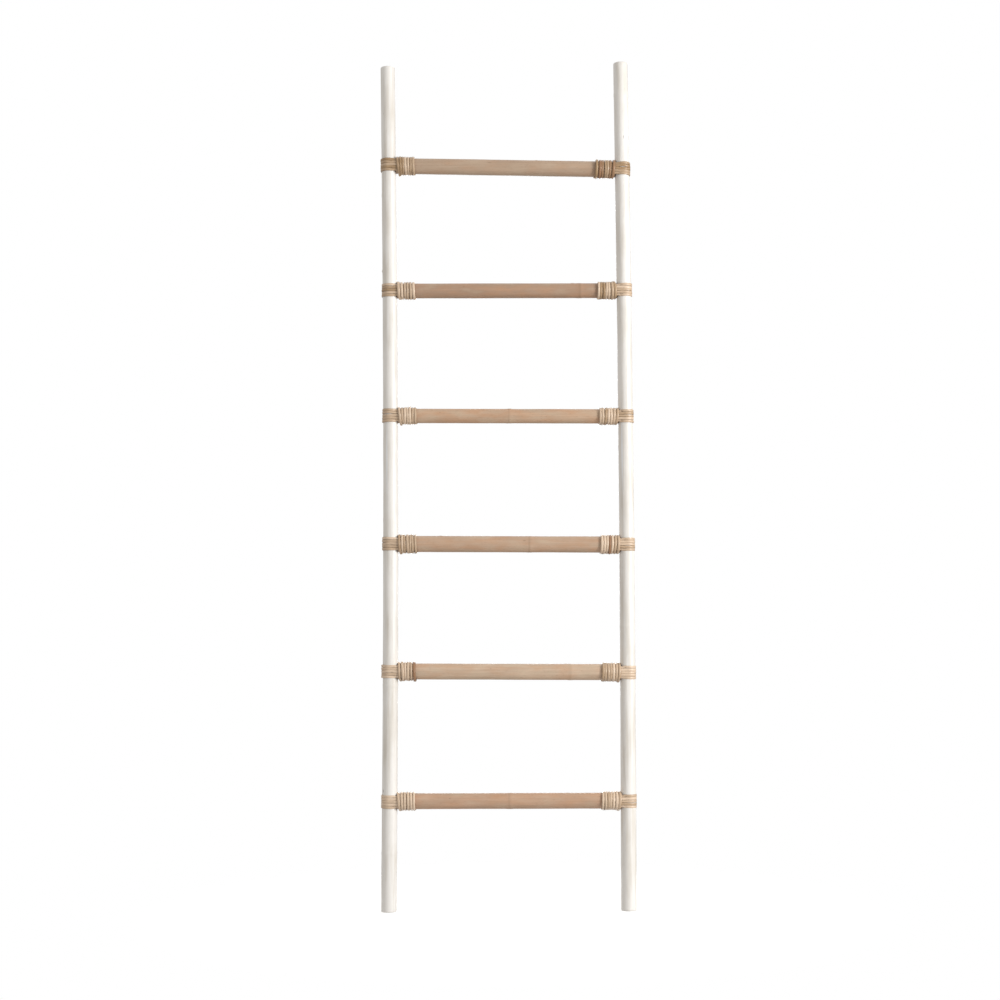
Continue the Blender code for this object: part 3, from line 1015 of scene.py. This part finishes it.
@dataclass(frozen=True)
class Bulge:
    """A place where a turn of the winding stands proud.

    Attributes:
        turn: Where, in turns from the pole. 0.25 is the top, 0.5 the front and 0.75 the bottom.
        rise: By how much.
        reach: Its half width, in turns.
    """

    turn: float
    rise: float
    reach: float = 0.07


@dataclass
class Route:
    """The path of a strip of peel, point by point.

    Attributes:
        points: Its points, in order.
        outward: The way the skin faces at each.
        trim: The strip's width there, as a share of the full one.
        tone: How tan it is there, from 0, straw, to 1, tan, and browner above 1.
    """

    points: list[Vector] = field(default_factory=list)
    outward: list[Vector] = field(default_factory=list)
    trim: list[float] = field(default_factory=list)
    tone: list[float] = field(default_factory=list)

    def step(self, point: Vector, outward: Vector, tone: float, trim: float = 1.0) -> None:
        """Add a point to the route.

        Args:
            point: The point.
            outward: The way the skin faces there.
            tone: How tan the strip is there.
            trim: Share of the full width.
        """
        self.points.append(point)
        self.outward.append(outward.normalized())
        self.trim.append(trim)
        self.tone.append(tone)

    def placed(self, matrix: Matrix) -> "Route":
        """Move the route.

        Args:
            matrix: The move.

        Returns:
            The moved route.
        """
        turn = matrix.to_3x3()
        points = [matrix @ point for point in self.points]
        outward = [turn @ out for out in self.outward]
        return Route(points, outward, self.trim, self.tone)

    def mesh(self, name: str) -> bpy.types.Mesh:
        """The route as a path mesh."""
        return path_mesh(name, self.points, outward=self.outward, trim=self.trim, tone=self.tone)


Step = tuple[Vector, Vector, bool]

POLE_POINTS = 22  # Points of a strap's pass round half the pole,
SPAN_POINTS = 7  # from the pole to the rung,
LEG_POINTS = 14  # along the rung
FOLD_POINTS = 9  # and round the fold at its end.
SWAY_LENGTH = 6 * MM  # Length of a radian of the small waves in a pass.
OUTLINE_POINTS = 361  # Points of the winding's outline, one for each degree.
SMOOTHED = 11  # How many of them are averaged.
TURN_POINTS = 48  # Points of one turn of the winding.
LEAN_TURNS = 1.6  # Turns over which the lean of the first one fades.
BOW_TURNS = 1.2  # Turns over which its bow fades.
BACK_STEP = 0.65  # Share of its advance that a turn makes in one step at its back.
CHANGE_SHARE = 0.15  # The last part of a turn, in which it takes on the next one's looks.
BROWN_TONE = 1.6  # Well past tan, so the turn is dark brown.
TUCK_POINTS = 6  # Points at either end that are tucked under,
TUCK_DEPTH = 1.2 * MM  # how deep,
TUCK_WIDTH = 0.6  # and the share of the full width left at the tip.


def mirrored(steps: list[Step]) -> list[Step]:
    """Swap front and back.

    Args:
        steps: Points, the way the skin faces there, and whether the point follows the rung's slope.

    Returns:
        The same steps on the other side of the rung.
    """
    flip = Vector((1.0, -1.0, 1.0))
    return [(point * flip, out * flip, on_rung) for point, out, on_rung in steps]


def settled(values: list[float], turn: float) -> float:
    """Take a turn's own value, changed into the next one's over the last part of the turn.

    Args:
        values: A value for each turn.
        turn: The place, in turns.

    Returns:
        The value there.
    """
    index = int(turn)
    share = min(1.0, max(0.0, (turn - index - (1 - CHANGE_SHARE)) / CHANGE_SHARE))
    return values[index] * (1 - share) + values[index + 1] * share


@dataclass
class Lashing:
    """The strap and the winding that bind one joint.

    Attributes:
        strands: How many turns of the winding cross its front.
        length: Length of the rung that the winding covers.
        lean: How far the first turn leans towards the pole at its top.
        bow: How far the first turn bows towards the pole at its front.
        tan: Share of tan in the winding's peel, from 0, straw, to 1, tan.
        strap_tan: The same for the strap's.
        brown: Which turn, if any, is of brown peel.
        bulges: Where turns stand proud.
        loose: Size of its small random differences.
        slack: How far the strap stands off the pole's outer side.
        passes: How many times the strap goes round the pole.
        off_pole: Gap between the pole and the winding.
        leg_short: How far the strap's legs end before the winding does.
        joint: The joint that it binds.
    """

    strands: int = 7
    length: float = 37.0 * MM
    lean: float = 0.8 * MM
    bow: float = 1.2 * MM
    tan: float = 0.35
    strap_tan: float = 0.35
    brown: Optional[int] = None
    bulges: tuple[Bulge, ...] = ()
    loose: float = 0.4 * MM
    slack: float = 0.0
    passes: int = 5
    off_pole: float = 0.5 * MM
    leg_short: float = 9.0 * MM
    joint: Joint = field(init=False, repr=False)

    @property
    def seed(self) -> int:
        """Seed of its small random differences."""
        return self.joint.number * 2 + (self.joint.side is Side.RIGHT)

    def leg_angle(self, place: float) -> float:
        """Angle round the rung, from its front or back, at which a pass's leg lies."""
        return place * 2 * math.atan(STRAP_PITCH / 2 / (self.joint.rung_radius + CLEARANCE))

    def leg_end(self) -> float:
        """Distance from the pole's axis to the end of the strap's legs."""
        return self.joint.pole_radius + self.off_pole + self.length - self.leg_short

    def strap_half(self, place: float, slack: float) -> list[Step]:
        """Lay one pass from the pole's outer side to the end of its back leg.

        Args:
            place: The pass, counted from the middle of the strap.
            slack: How far it stands off the pole's outer side.

        Returns:
            Points, the way the skin faces there, and whether the point follows the rung's slope.
        """
        pole = self.joint.pole_radius + STRAP_STRIP.seat
        rung = self.joint.rung_radius + STRAP_STRIP.seat
        angle = self.leg_angle(place)
        height = place * STRAP_PITCH
        low = rung * math.cos(angle) - STRAP_STRIP.width / 2 * abs(math.sin(angle))
        reach = math.hypot(SETBACK, low)
        past = max(0.0, math.atan2(SETBACK, low) - math.acos(min(1.0, pole / reach)))
        steps = []
        for turn in np.linspace(-math.pi / 2, past, POLE_POINTS):
            out = Vector((math.sin(turn), math.cos(turn), 0.0))
            stand = slack * max(0.0, -math.sin(turn)) ** 2
            steps.append((out * (pole + stand) + Vector((0.0, 0.0, height)), out, False))
        leave, facing = steps[-1][0], steps[-1][1]
        settle = Vector((0.0, math.cos(angle), math.sin(angle)))
        seat = Vector((SETBACK, 0.0, 0.0)) + settle * rung
        for share in np.linspace(0, 1, SPAN_POINTS)[1:]:
            out = facing.lerp(settle, share**2 if share < 1 else 1.0).normalized()
            steps.append((leave.lerp(seat, share), out, share > 0.5))
        for x in np.linspace(SETBACK, self.leg_end(), LEG_POINTS)[1:]:
            steps.append((Vector((x, 0.0, 0.0)) + settle * rung, settle, True))
        return steps

    def fold(self, place: float) -> list[Step]:
        """Turn back under the winding, from one pass's back leg to the next one's.

        Args:
            place: The first of the two passes, counted from the middle of the strap.

        Returns:
            Points, the way the skin faces there, and whether the point follows the rung's slope.
        """
        rung = self.joint.rung_radius + STRAP_STRIP.seat
        first, last = self.leg_angle(place), self.leg_angle(place + 1)
        steps = []
        for turn in np.linspace(0, math.pi, FOLD_POINTS)[1:-1]:
            angle = first + (last - first) * (1 - math.cos(turn)) / 2
            out = Vector((0.0, math.cos(angle), math.sin(angle)))
            x = self.leg_end() + STRAP_PITCH / 2 * math.sin(turn)
            steps.append((Vector((x, 0.0, 0.0)) + out * rung, out, True))
        return steps

    def strap_route(self) -> Route:
        """Lay the whole strap: its passes to and fro, with a fold after all but the last.

        Returns:
            The strap's route in the ladder's frame.
        """
        chance = random.Random(self.seed)
        route = Route()
        for i in range(self.passes):
            place = i - (self.passes - 1) / 2
            tone, trim = self.strap_tan + chance.uniform(-0.4, 0.4), chance.uniform(0.9, 1.06)
            slip, slope = chance.uniform(-1, 1) * self.loose / 2, chance.uniform(-0.02, 0.02)
            wave, start = chance.uniform(0.25, 0.7) * self.loose, chance.uniform(0, 2 * math.pi)
            half = self.strap_half(place, self.slack + chance.uniform(0, 1) * self.loose)
            whole = mirrored(half[::-1]) + half[1:]
            if i % 2:
                whole.reverse()
            for point, out, on_rung in whole:
                if not on_rung:
                    sway = wave * math.sin(point.x / SWAY_LENGTH + start)
                    point = point + Vector((0.0, 0.0, slip + slope * point.x + sway))
                self.add_step(route, point, out, on_rung, tone, trim)
            if i < self.passes - 1:
                fold = self.fold(place)
                for step in mirrored(fold) if i % 2 else fold:
                    self.add_step(route, *step, tone, trim)
        return route.placed(self.joint.upright)

    def add_step(self, route: Route, point: Vector, out: Vector, on_rung: bool, tone: float,
                 trim: float) -> None:
        """Add a strap point, turned to the rung's slope where it lies on the rung.

        Args:
            route: The strap's route so far.
            point: The point, in the joint's upright frame.
            out: The way the skin faces there.
            on_rung: Whether it lies on the rung.
            tone: Share of tan.
            trim: Share of the full width.
        """
        if on_rung:
            point, out = self.joint.tilt @ point, self.joint.tilt @ out
        route.step(point, out, tone, trim)

    def wrap_outline(self) -> tuple[np.ndarray, np.ndarray]:
        """Draw the tight outline round the rung and the strap's legs.

        Returns:
            Angles from the back of the rung, and the outline's radius at each.
        """
        angles = np.linspace(0, 2 * math.pi, OUTLINE_POINTS)
        rung = self.joint.rung_radius + CLEARANCE
        legs = rung + STRAP_STRIP.thickness + CLEARANCE
        half_leg = math.atan(STRAP_STRIP.width / 2 / legs)
        # A strip's edge is rounded, so the outline's corner lies a little inside it.
        corner = self.leg_angle((self.passes - 1) / 2) + half_leg - 0.06
        tangent = corner + math.acos(rung / legs)
        from_leg = np.abs(np.arcsin(np.sin(angles)))
        radius = np.where(from_leg < corner, legs, rung / np.cos(np.clip(tangent - from_leg, 0, None)))
        radius[from_leg > tangent] = rung
        side = SMOOTHED // 2
        closed = np.concatenate([radius[-side - 1 : -1], radius, radius[1 : side + 1]])
        return angles, np.convolve(closed, np.ones(SMOOTHED) / SMOOTHED, "valid")

    def turn_places(self, chance: random.Random) -> tuple[np.ndarray, np.ndarray, np.ndarray]:
        """Lay the winding's turns side by side, each of its own width.

        Args:
            chance: Source of the differences in width.

        Returns:
            The turns' numbers, with one before the first and one after the last, the distance of each
            one's middle from the first one's, and its share of the full width.
        """
        numbers = np.arange(-1, self.strands + 1)
        widths = np.array([1 + chance.uniform(-0.14, 0.12) for _ in numbers])
        middles = np.concatenate([[0.0], np.cumsum((widths[1:] + widths[:-1]) / 2)])
        middles -= middles[1]
        return numbers, middles * (self.length - WRAP_STRIP.width) / middles[-2], widths

    def winding_route(self) -> Route:
        """Wind turns side by side away from the pole, with both ends tucked under at the back.

        Returns:
            The winding's route in the ladder's frame.
        """
        chance = random.Random(100 + self.seed)
        angles, outline = self.wrap_outline()
        bend = np.gradient(outline, angles)
        count = self.strands * TURN_POINTS
        slips = [chance.uniform(-1, 1) * self.loose for _ in range(self.strands + 2)]
        lifts = [chance.uniform(0.0, 1.5) * self.loose for _ in range(self.strands + 2)]
        tilts = [chance.uniform(-1, 1) * self.loose for _ in range(self.strands + 2)]
        tones = [self.tan + chance.uniform(-0.5, 0.5) for _ in range(self.strands + 2)]
        tones[0] = self.tan + 0.3
        if self.brown is not None:
            tones[self.brown] = BROWN_TONE
        numbers, middles, widths = self.turn_places(chance)
        first = self.joint.pole_radius + self.off_pole + WRAP_STRIP.width / 2
        start, hand = (0.0, 1) if self.joint.side is Side.LEFT else (math.pi, -1)
        route = Route()
        for i in range(count + 1):
            turn = i / TURN_POINTS
            angle = start + hand * 2 * math.pi * turn
            whole = angle % (2 * math.pi)
            radius = float(np.interp(whole, angles, outline)) + WRAP_STRIP.seat
            slope = float(np.interp(whole, angles, bend))
            out = Vector((0.0, math.cos(angle), math.sin(angle)))
            sideways = Vector((0.0, -math.sin(angle), math.cos(angle)))
            after = turn - 0.5
            advance = after - BACK_STEP * math.sin(2 * math.pi * after) / (2 * math.pi)
            along = float(np.interp(advance, numbers, middles))
            width = float(np.interp(advance, numbers, widths))
            lean = math.exp(-turn / LEAN_TURNS) * (abs(self.lean) - self.lean * math.sin(angle))
            lean -= math.exp(-turn / BOW_TURNS) * self.bow * max(0.0, -math.cos(angle - start))
            slip = settled(slips, turn) + math.sin(angle) * settled(tilts, turn)
            slip += 0.5 * self.loose * math.sin(1.7 * angle + self.seed)
            lift = settled(lifts, turn)
            for bulge in self.bulges:
                lift += bulge.rise * math.exp(-(((turn - bulge.turn) / bulge.reach) ** 2))
            tuck = min(1.0, i / TUCK_POINTS, (count - i) / TUCK_POINTS)
            place = Vector((first + along + slip * min(1.0, turn) + lean, 0.0, 0.0))
            place += out * (radius + lift - (1 - tuck) * TUCK_DEPTH)
            trim = width * (TUCK_WIDTH + (1 - TUCK_WIDTH) * tuck)
            route.step(place, out - sideways * (slope / radius), settled(tones, turn), trim)
        return route.placed(self.joint.upright @ self.joint.tilt)

    def build(self, recipe: PeelRecipe, material: bpy.types.Material) -> list[bpy.types.Object]:
        """Make the strap and the winding and let them stand for their CAD nodes.

        Args:
            recipe: The strip tree.
            material: The peel.

        Returns:
            The two pieces.
        """
        name = self.joint.name
        strap = recipe.run(f"strap_{name}_peel", self.strap_route().mesh("strap"), Seed=float(self.seed),
                           Material=material, **STRAP_STRIP.inputs())
        strap = finished(strap, f"strap_{name}")
        winding = recipe.run(f"winding_{name}_peel", self.winding_route().mesh("winding"),
                             Seed=self.seed + 50.0, Material=material, **WRAP_STRIP.inputs())
        return [strap, finished(winding, f"winding_{name}")]


# ----------------------------------------------------------------------------------------- studio


@dataclass
class Studio:
    """Pale floor, soft lights and the camera.

    Attributes:
        distance: From the camera to the ladder's plane.
        height: Height of the camera.
        aside: How far left of the ladder's middle the camera stands.
        pitch: How far it looks up, in degrees.
        roll: How far it is turned about its own axis, in degrees.
        lens: Focal length on a 36 mm sensor.
        key: Power of the key lamp in watts.
        top: Power of the overhead lamp in watts.
        back: Power of the lamp behind the ladder in watts.
        middle: Height of the ladder's middle, which the lamps face.
        above: Light from the surround above the horizon.
        below: Light from the surround below it.
        floor_radius: Radius of the floor, at which it has faded away.
        floor_glow: Light that the floor gives off, so that it looks as white as the surround.
    """

    distance: float = 3.6
    height: float = 0.5750
    aside: float = 0.0131
    pitch: float = 3.809
    roll: float = -0.32
    lens: float = 64.7
    key: float = 134.0
    top: float = 8.0
    back: float = 45.0
    middle: float = 0.85
    above: float = 0.6
    below: float = 0.5
    floor_radius: float = 0.8
    floor_glow: float = 0.42

    def camera(self) -> None:
        """Place the camera in front of the ladder."""
        feet = [m["pos_m"][0] for m in frame["record"]["mounts"]]
        data = bpy.data.cameras.new("camera")
        data.lens = self.lens
        data.clip_end = 200
        eye = bpy.data.objects.new("camera", data)
        bpy.context.scene.collection.objects.link(eye)
        pitch = Matrix.Rotation(math.radians(90 + self.pitch), 4, "X")
        turn = pitch @ Matrix.Rotation(math.radians(self.roll), 4, "Z")
        middle = sum(feet) / len(feet)
        eye.matrix_world = Matrix.Translation((middle - self.aside, -self.distance, self.height)) @ turn
        bpy.context.scene.camera = eye

    def lamp(self, name: str, place: Triple, size: tuple[float, float], power: float) -> None:
        """Hang a soft rectangular lamp that faces the ladder's middle.

        Args:
            name: The lamp's name.
            place: Where it hangs.
            size: Its width and height.
            power: Its power in watts.
        """
        data = bpy.data.lights.new(name, "AREA")
        data.shape = "RECTANGLE"
        data.size, data.size_y = size
        data.energy = power
        data.color = (0.95, 0.975, 1.0)
        lamp = bpy.data.objects.new(name, data)
        bpy.context.scene.collection.objects.link(lamp)
        facing = (Vector((0.0, 0.0, self.middle)) - Vector(place)).to_track_quat("-Z", "Y")
        lamp.matrix_world = Matrix.Translation(place) @ facing.to_matrix().to_4x4()

    def lights(self) -> None:
        """A large soft key lamp at the right, a weak lamp overhead and a soft one behind."""
        self.lamp("key", (3.25, -1.95, 1.4), (1.2, 2.0), self.key)
        self.lamp("top", (0.3, 0.9, 3.0), (1.4, 1.4), self.top)
        self.lamp("back", (0.0, 3.4, 1.2), (0.8, 2.0), self.back)

    def surround(self) -> None:
        """A studio that looks white and lights softly, less from the right, where a dark flag hangs."""
        world = bpy.data.worlds.new("surround")
        bpy.context.scene.world = world
        world.use_nodes = True
        tree = world.node_tree
        tree.nodes.clear()
        rays = add(tree, "ShaderNodeLightPath")
        direction = add(tree, "ShaderNodeTexCoord").outputs["Generated"]
        height = add(tree, "ShaderNodeSeparateXYZ", {0: direction}).outputs["Z"]
        level = add(tree, RANGE, {
            "Value": height, "From Min": -0.6, "From Max": 0.4, "To Min": self.below, "To Max": self.above})
        across = add(tree, VECTOR_MATH, {0: direction, 1: (0.9, 0.44, 0.0)}, operation="DOT_PRODUCT")
        flag = add(tree, RANGE, {
            "Value": across.outputs["Value"], "From Min": 0.1, "From Max": 0.9, "To Min": 1.0,
            "To Max": 0.3})
        level = add(tree, MATH, {0: level, 1: flag}, operation="MULTIPLY")
        strength = add(tree, MIX, {0: rays.outputs["Is Camera Ray"], 2: level, 3: 1.0},
                       data_type="FLOAT")
        shown = add(tree, "ShaderNodeBackground", {"Color": linear("#ffffff"), "Strength": strength})
        add(tree, "ShaderNodeOutputWorld", {"Surface": shown})

    def floor(self) -> None:
        """A pale floor that fades into the surround's white."""
        mesh = bpy.data.meshes.new("floor")
        shape = bmesh.new()
        bmesh.ops.create_circle(shape, cap_ends=True, segments=96, radius=self.floor_radius)
        shape.to_mesh(mesh)
        shape.free()
        floor = bpy.data.objects.new("floor", mesh)
        bpy.context.scene.collection.objects.link(floor)
        material = bpy.data.materials.new("studio_floor")
        material.use_nodes = True
        tree = material.node_tree
        shader = tree.nodes["Principled BSDF"]
        shader.inputs["Base Color"].default_value = linear("#f7f6f4")
        shader.inputs["Roughness"].default_value = 0.9
        shader.inputs["Specular IOR Level"].default_value = 0.0
        shader.inputs["Emission Color"].default_value = linear("#ffffff")
        shader.inputs["Emission Strength"].default_value = self.floor_glow
        place = add(tree, "ShaderNodeTexCoord")
        away = add(tree, VECTOR_MATH, {0: place.outputs["Object"]}, operation="LENGTH")
        fade = add(tree, RANGE, {
            "Value": away.outputs["Value"], "From Min": 0.3, "From Max": self.floor_radius * 0.98},
            interpolation_type="SMOOTHERSTEP")
        clear = add(tree, "ShaderNodeBsdfTransparent")
        both = add(tree, "ShaderNodeMixShader", {0: fade, 1: shader, 2: clear})
        tree.links.new(both.outputs[0], tree.nodes["Material Output"].inputs["Surface"])
        mesh.materials.append(material)
        floor.visible_diffuse = False


# ------------------------------------------------------------------------------------- the ladder


RUNG_CHOICES = (
    RungChoice("#d0ab8e", 0.225, 0.352, (0.12, 5 * MM)),
    RungChoice("#dec2a6", 0.345, 0.35, (0.2, 4 * MM)),
    RungChoice("#d0b094", 0.265, 0.1, (0.268, 8 * MM), patchy=0.45),
    RungChoice("#d5b496", 0.225, 0.24, (0.1, 4 * MM), patchy=0.5, ringed=0.25),
    RungChoice("#bb9a80", 0.37, 0.37, (0.15, 5 * MM), ringed=0.8),
    RungChoice("#c6ab91", 0.42, 0.3, (0.205, 10 * MM), patchy=0.22),
)


# The highlight of a crease is painted in: a long pure white line where a raised ridge of paint catches the
# light.
CREASE_GLINT = (1.7 * MM, 6 * MM, 100 * MM)
PAINTED_GLINT = "#ffffff"
TIP = Bulge(0.8, 2.3 * MM, 0.06)
LASHINGS = {
    (1, Side.LEFT): Lashing(
        6, 36 * MM, lean=1.6 * MM, tan=0.05, strap_tan=0.0, bulges=(TIP,), slack=0.6 * MM),
    (1, Side.RIGHT): Lashing(
        7, 38 * MM, lean=0.6 * MM, bow=2.0 * MM, tan=0.2, strap_tan=0.3, bulges=(TIP,)),
    (2, Side.LEFT): Lashing(
        6, 35 * MM, lean=1.0 * MM, tan=0.15, strap_tan=0.1, brown=5, bulges=(TIP, Bulge(5.7, 1.6 * MM)),
        slack=1.6 * MM, loose=0.7 * MM),
    (2, Side.RIGHT): Lashing(
        7, 37 * MM, lean=0.6 * MM, bow=2.0 * MM, tan=0.25, strap_tan=0.15, bulges=(Bulge(0.75, 1.7 * MM),)),
    (3, Side.LEFT): Lashing(
        7, 37 * MM, lean=0.9 * MM, tan=0.5, strap_tan=0.3, bulges=(TIP,), slack=0.8 * MM),
    (3, Side.RIGHT): Lashing(
        7, 38 * MM, lean=0.4 * MM, bow=1.8 * MM, tan=0.2, strap_tan=0.6, brown=3,
        bulges=(Bulge(3.68, 1.3 * MM),)),
    (4, Side.LEFT): Lashing(
        7, 38 * MM, lean=2.6 * MM, tan=0.0, strap_tan=0.7, bulges=(TIP, Bulge(4.3, 1.4 * MM, 0.1)),
        loose=0.6 * MM),
    (4, Side.RIGHT): Lashing(7, 38 * MM, lean=0.9 * MM, bow=2.2 * MM, tan=0.35, strap_tan=0.45),
    (5, Side.LEFT): Lashing(
        6, 36 * MM, lean=1.2 * MM, tan=0.0, strap_tan=0.6, bulges=(Bulge(0.25, 1.0 * MM),), loose=0.5 * MM),
    (5, Side.RIGHT): Lashing(
        7, 39 * MM, lean=-2.0 * MM, bow=2.4 * MM, tan=0.55, strap_tan=0.35,
        bulges=(Bulge(0.22, 1.3 * MM, 0.12),), loose=0.7 * MM),
    (6, Side.LEFT): Lashing(
        7, 38 * MM, lean=3.0 * MM, tan=0.6, strap_tan=0.75, bulges=(TIP,), loose=0.6 * MM),
    (6, Side.RIGHT): Lashing(
        7, 39 * MM, lean=1.6 * MM, bow=1.8 * MM, tan=1.2, strap_tan=0.9, loose=0.75 * MM),
}


class Ladder:
    """The whole ladder."""

    def __init__(self) -> None:
        """Read the joints from the frame."""
        self.joints = {(n, side): read_joint(n, side) for n in range(1, RUNG_COUNT + 1) for side in Side}

    def build(self) -> None:
        """Make every piece in order."""
        numbers = range(1, RUNG_COUNT + 1)
        canes, strips = CaneRecipe(), PeelRecipe()
        peel = RattanPeel("rattan_peel", "#e8cdb1", 0.36).material()
        steel = ZincSteel("zinc_plated_steel", "#b9bbbf", 0.35).material()
        left, right = [[self.joints[n, side] for n in numbers] for side in Side]
        # Each pole's second mark is the painted highlight of a crease, a white line.
        Pole(Side.LEFT, left, 0.115, 0.33, nub=(5, 40 * MM, -0.98), seed=1.0,
             blemishes=(Blemish(1, 21 * MM, -0.8),
                        Blemish(3, 166 * MM, -0.44, CREASE_GLINT, 1.0, 0.3, PAINTED_GLINT))).build(canes)
        Pole(Side.RIGHT, right, 0.2, 0.36, nub=(3, 130 * MM, 0.99), seed=7.0,
             blemishes=(Blemish(6, 64 * MM, 0.2),
                        Blemish(3, 185 * MM, -0.57, CREASE_GLINT, 1.0, 0.3, PAINTED_GLINT))).build(canes)
        for ends in zip(left, right, RUNG_CHOICES):
            Rung(*ends).build(canes)
        for (number, side), lashing in LASHINGS.items():
            lashing.joint = self.joints[number, side]
            lashing.build(strips, peel)
        for name, node in frame["nodes"].items():
            if name.startswith(("joint_screw", "tail_brad")):
                node.data.materials.clear()
                node.data.materials.append(steel)


def main() -> None:
    """Build the ladder and its studio."""
    logging.basicConfig(level=logging.INFO, format="%(name)s: %(message)s")
    bpy.context.scene.view_settings.view_transform = "Standard"
    Ladder().build()
    studio = Studio()
    studio.floor()
    studio.lights()
    studio.surround()
    studio.camera()


if __name__ == "__main__":
    main()
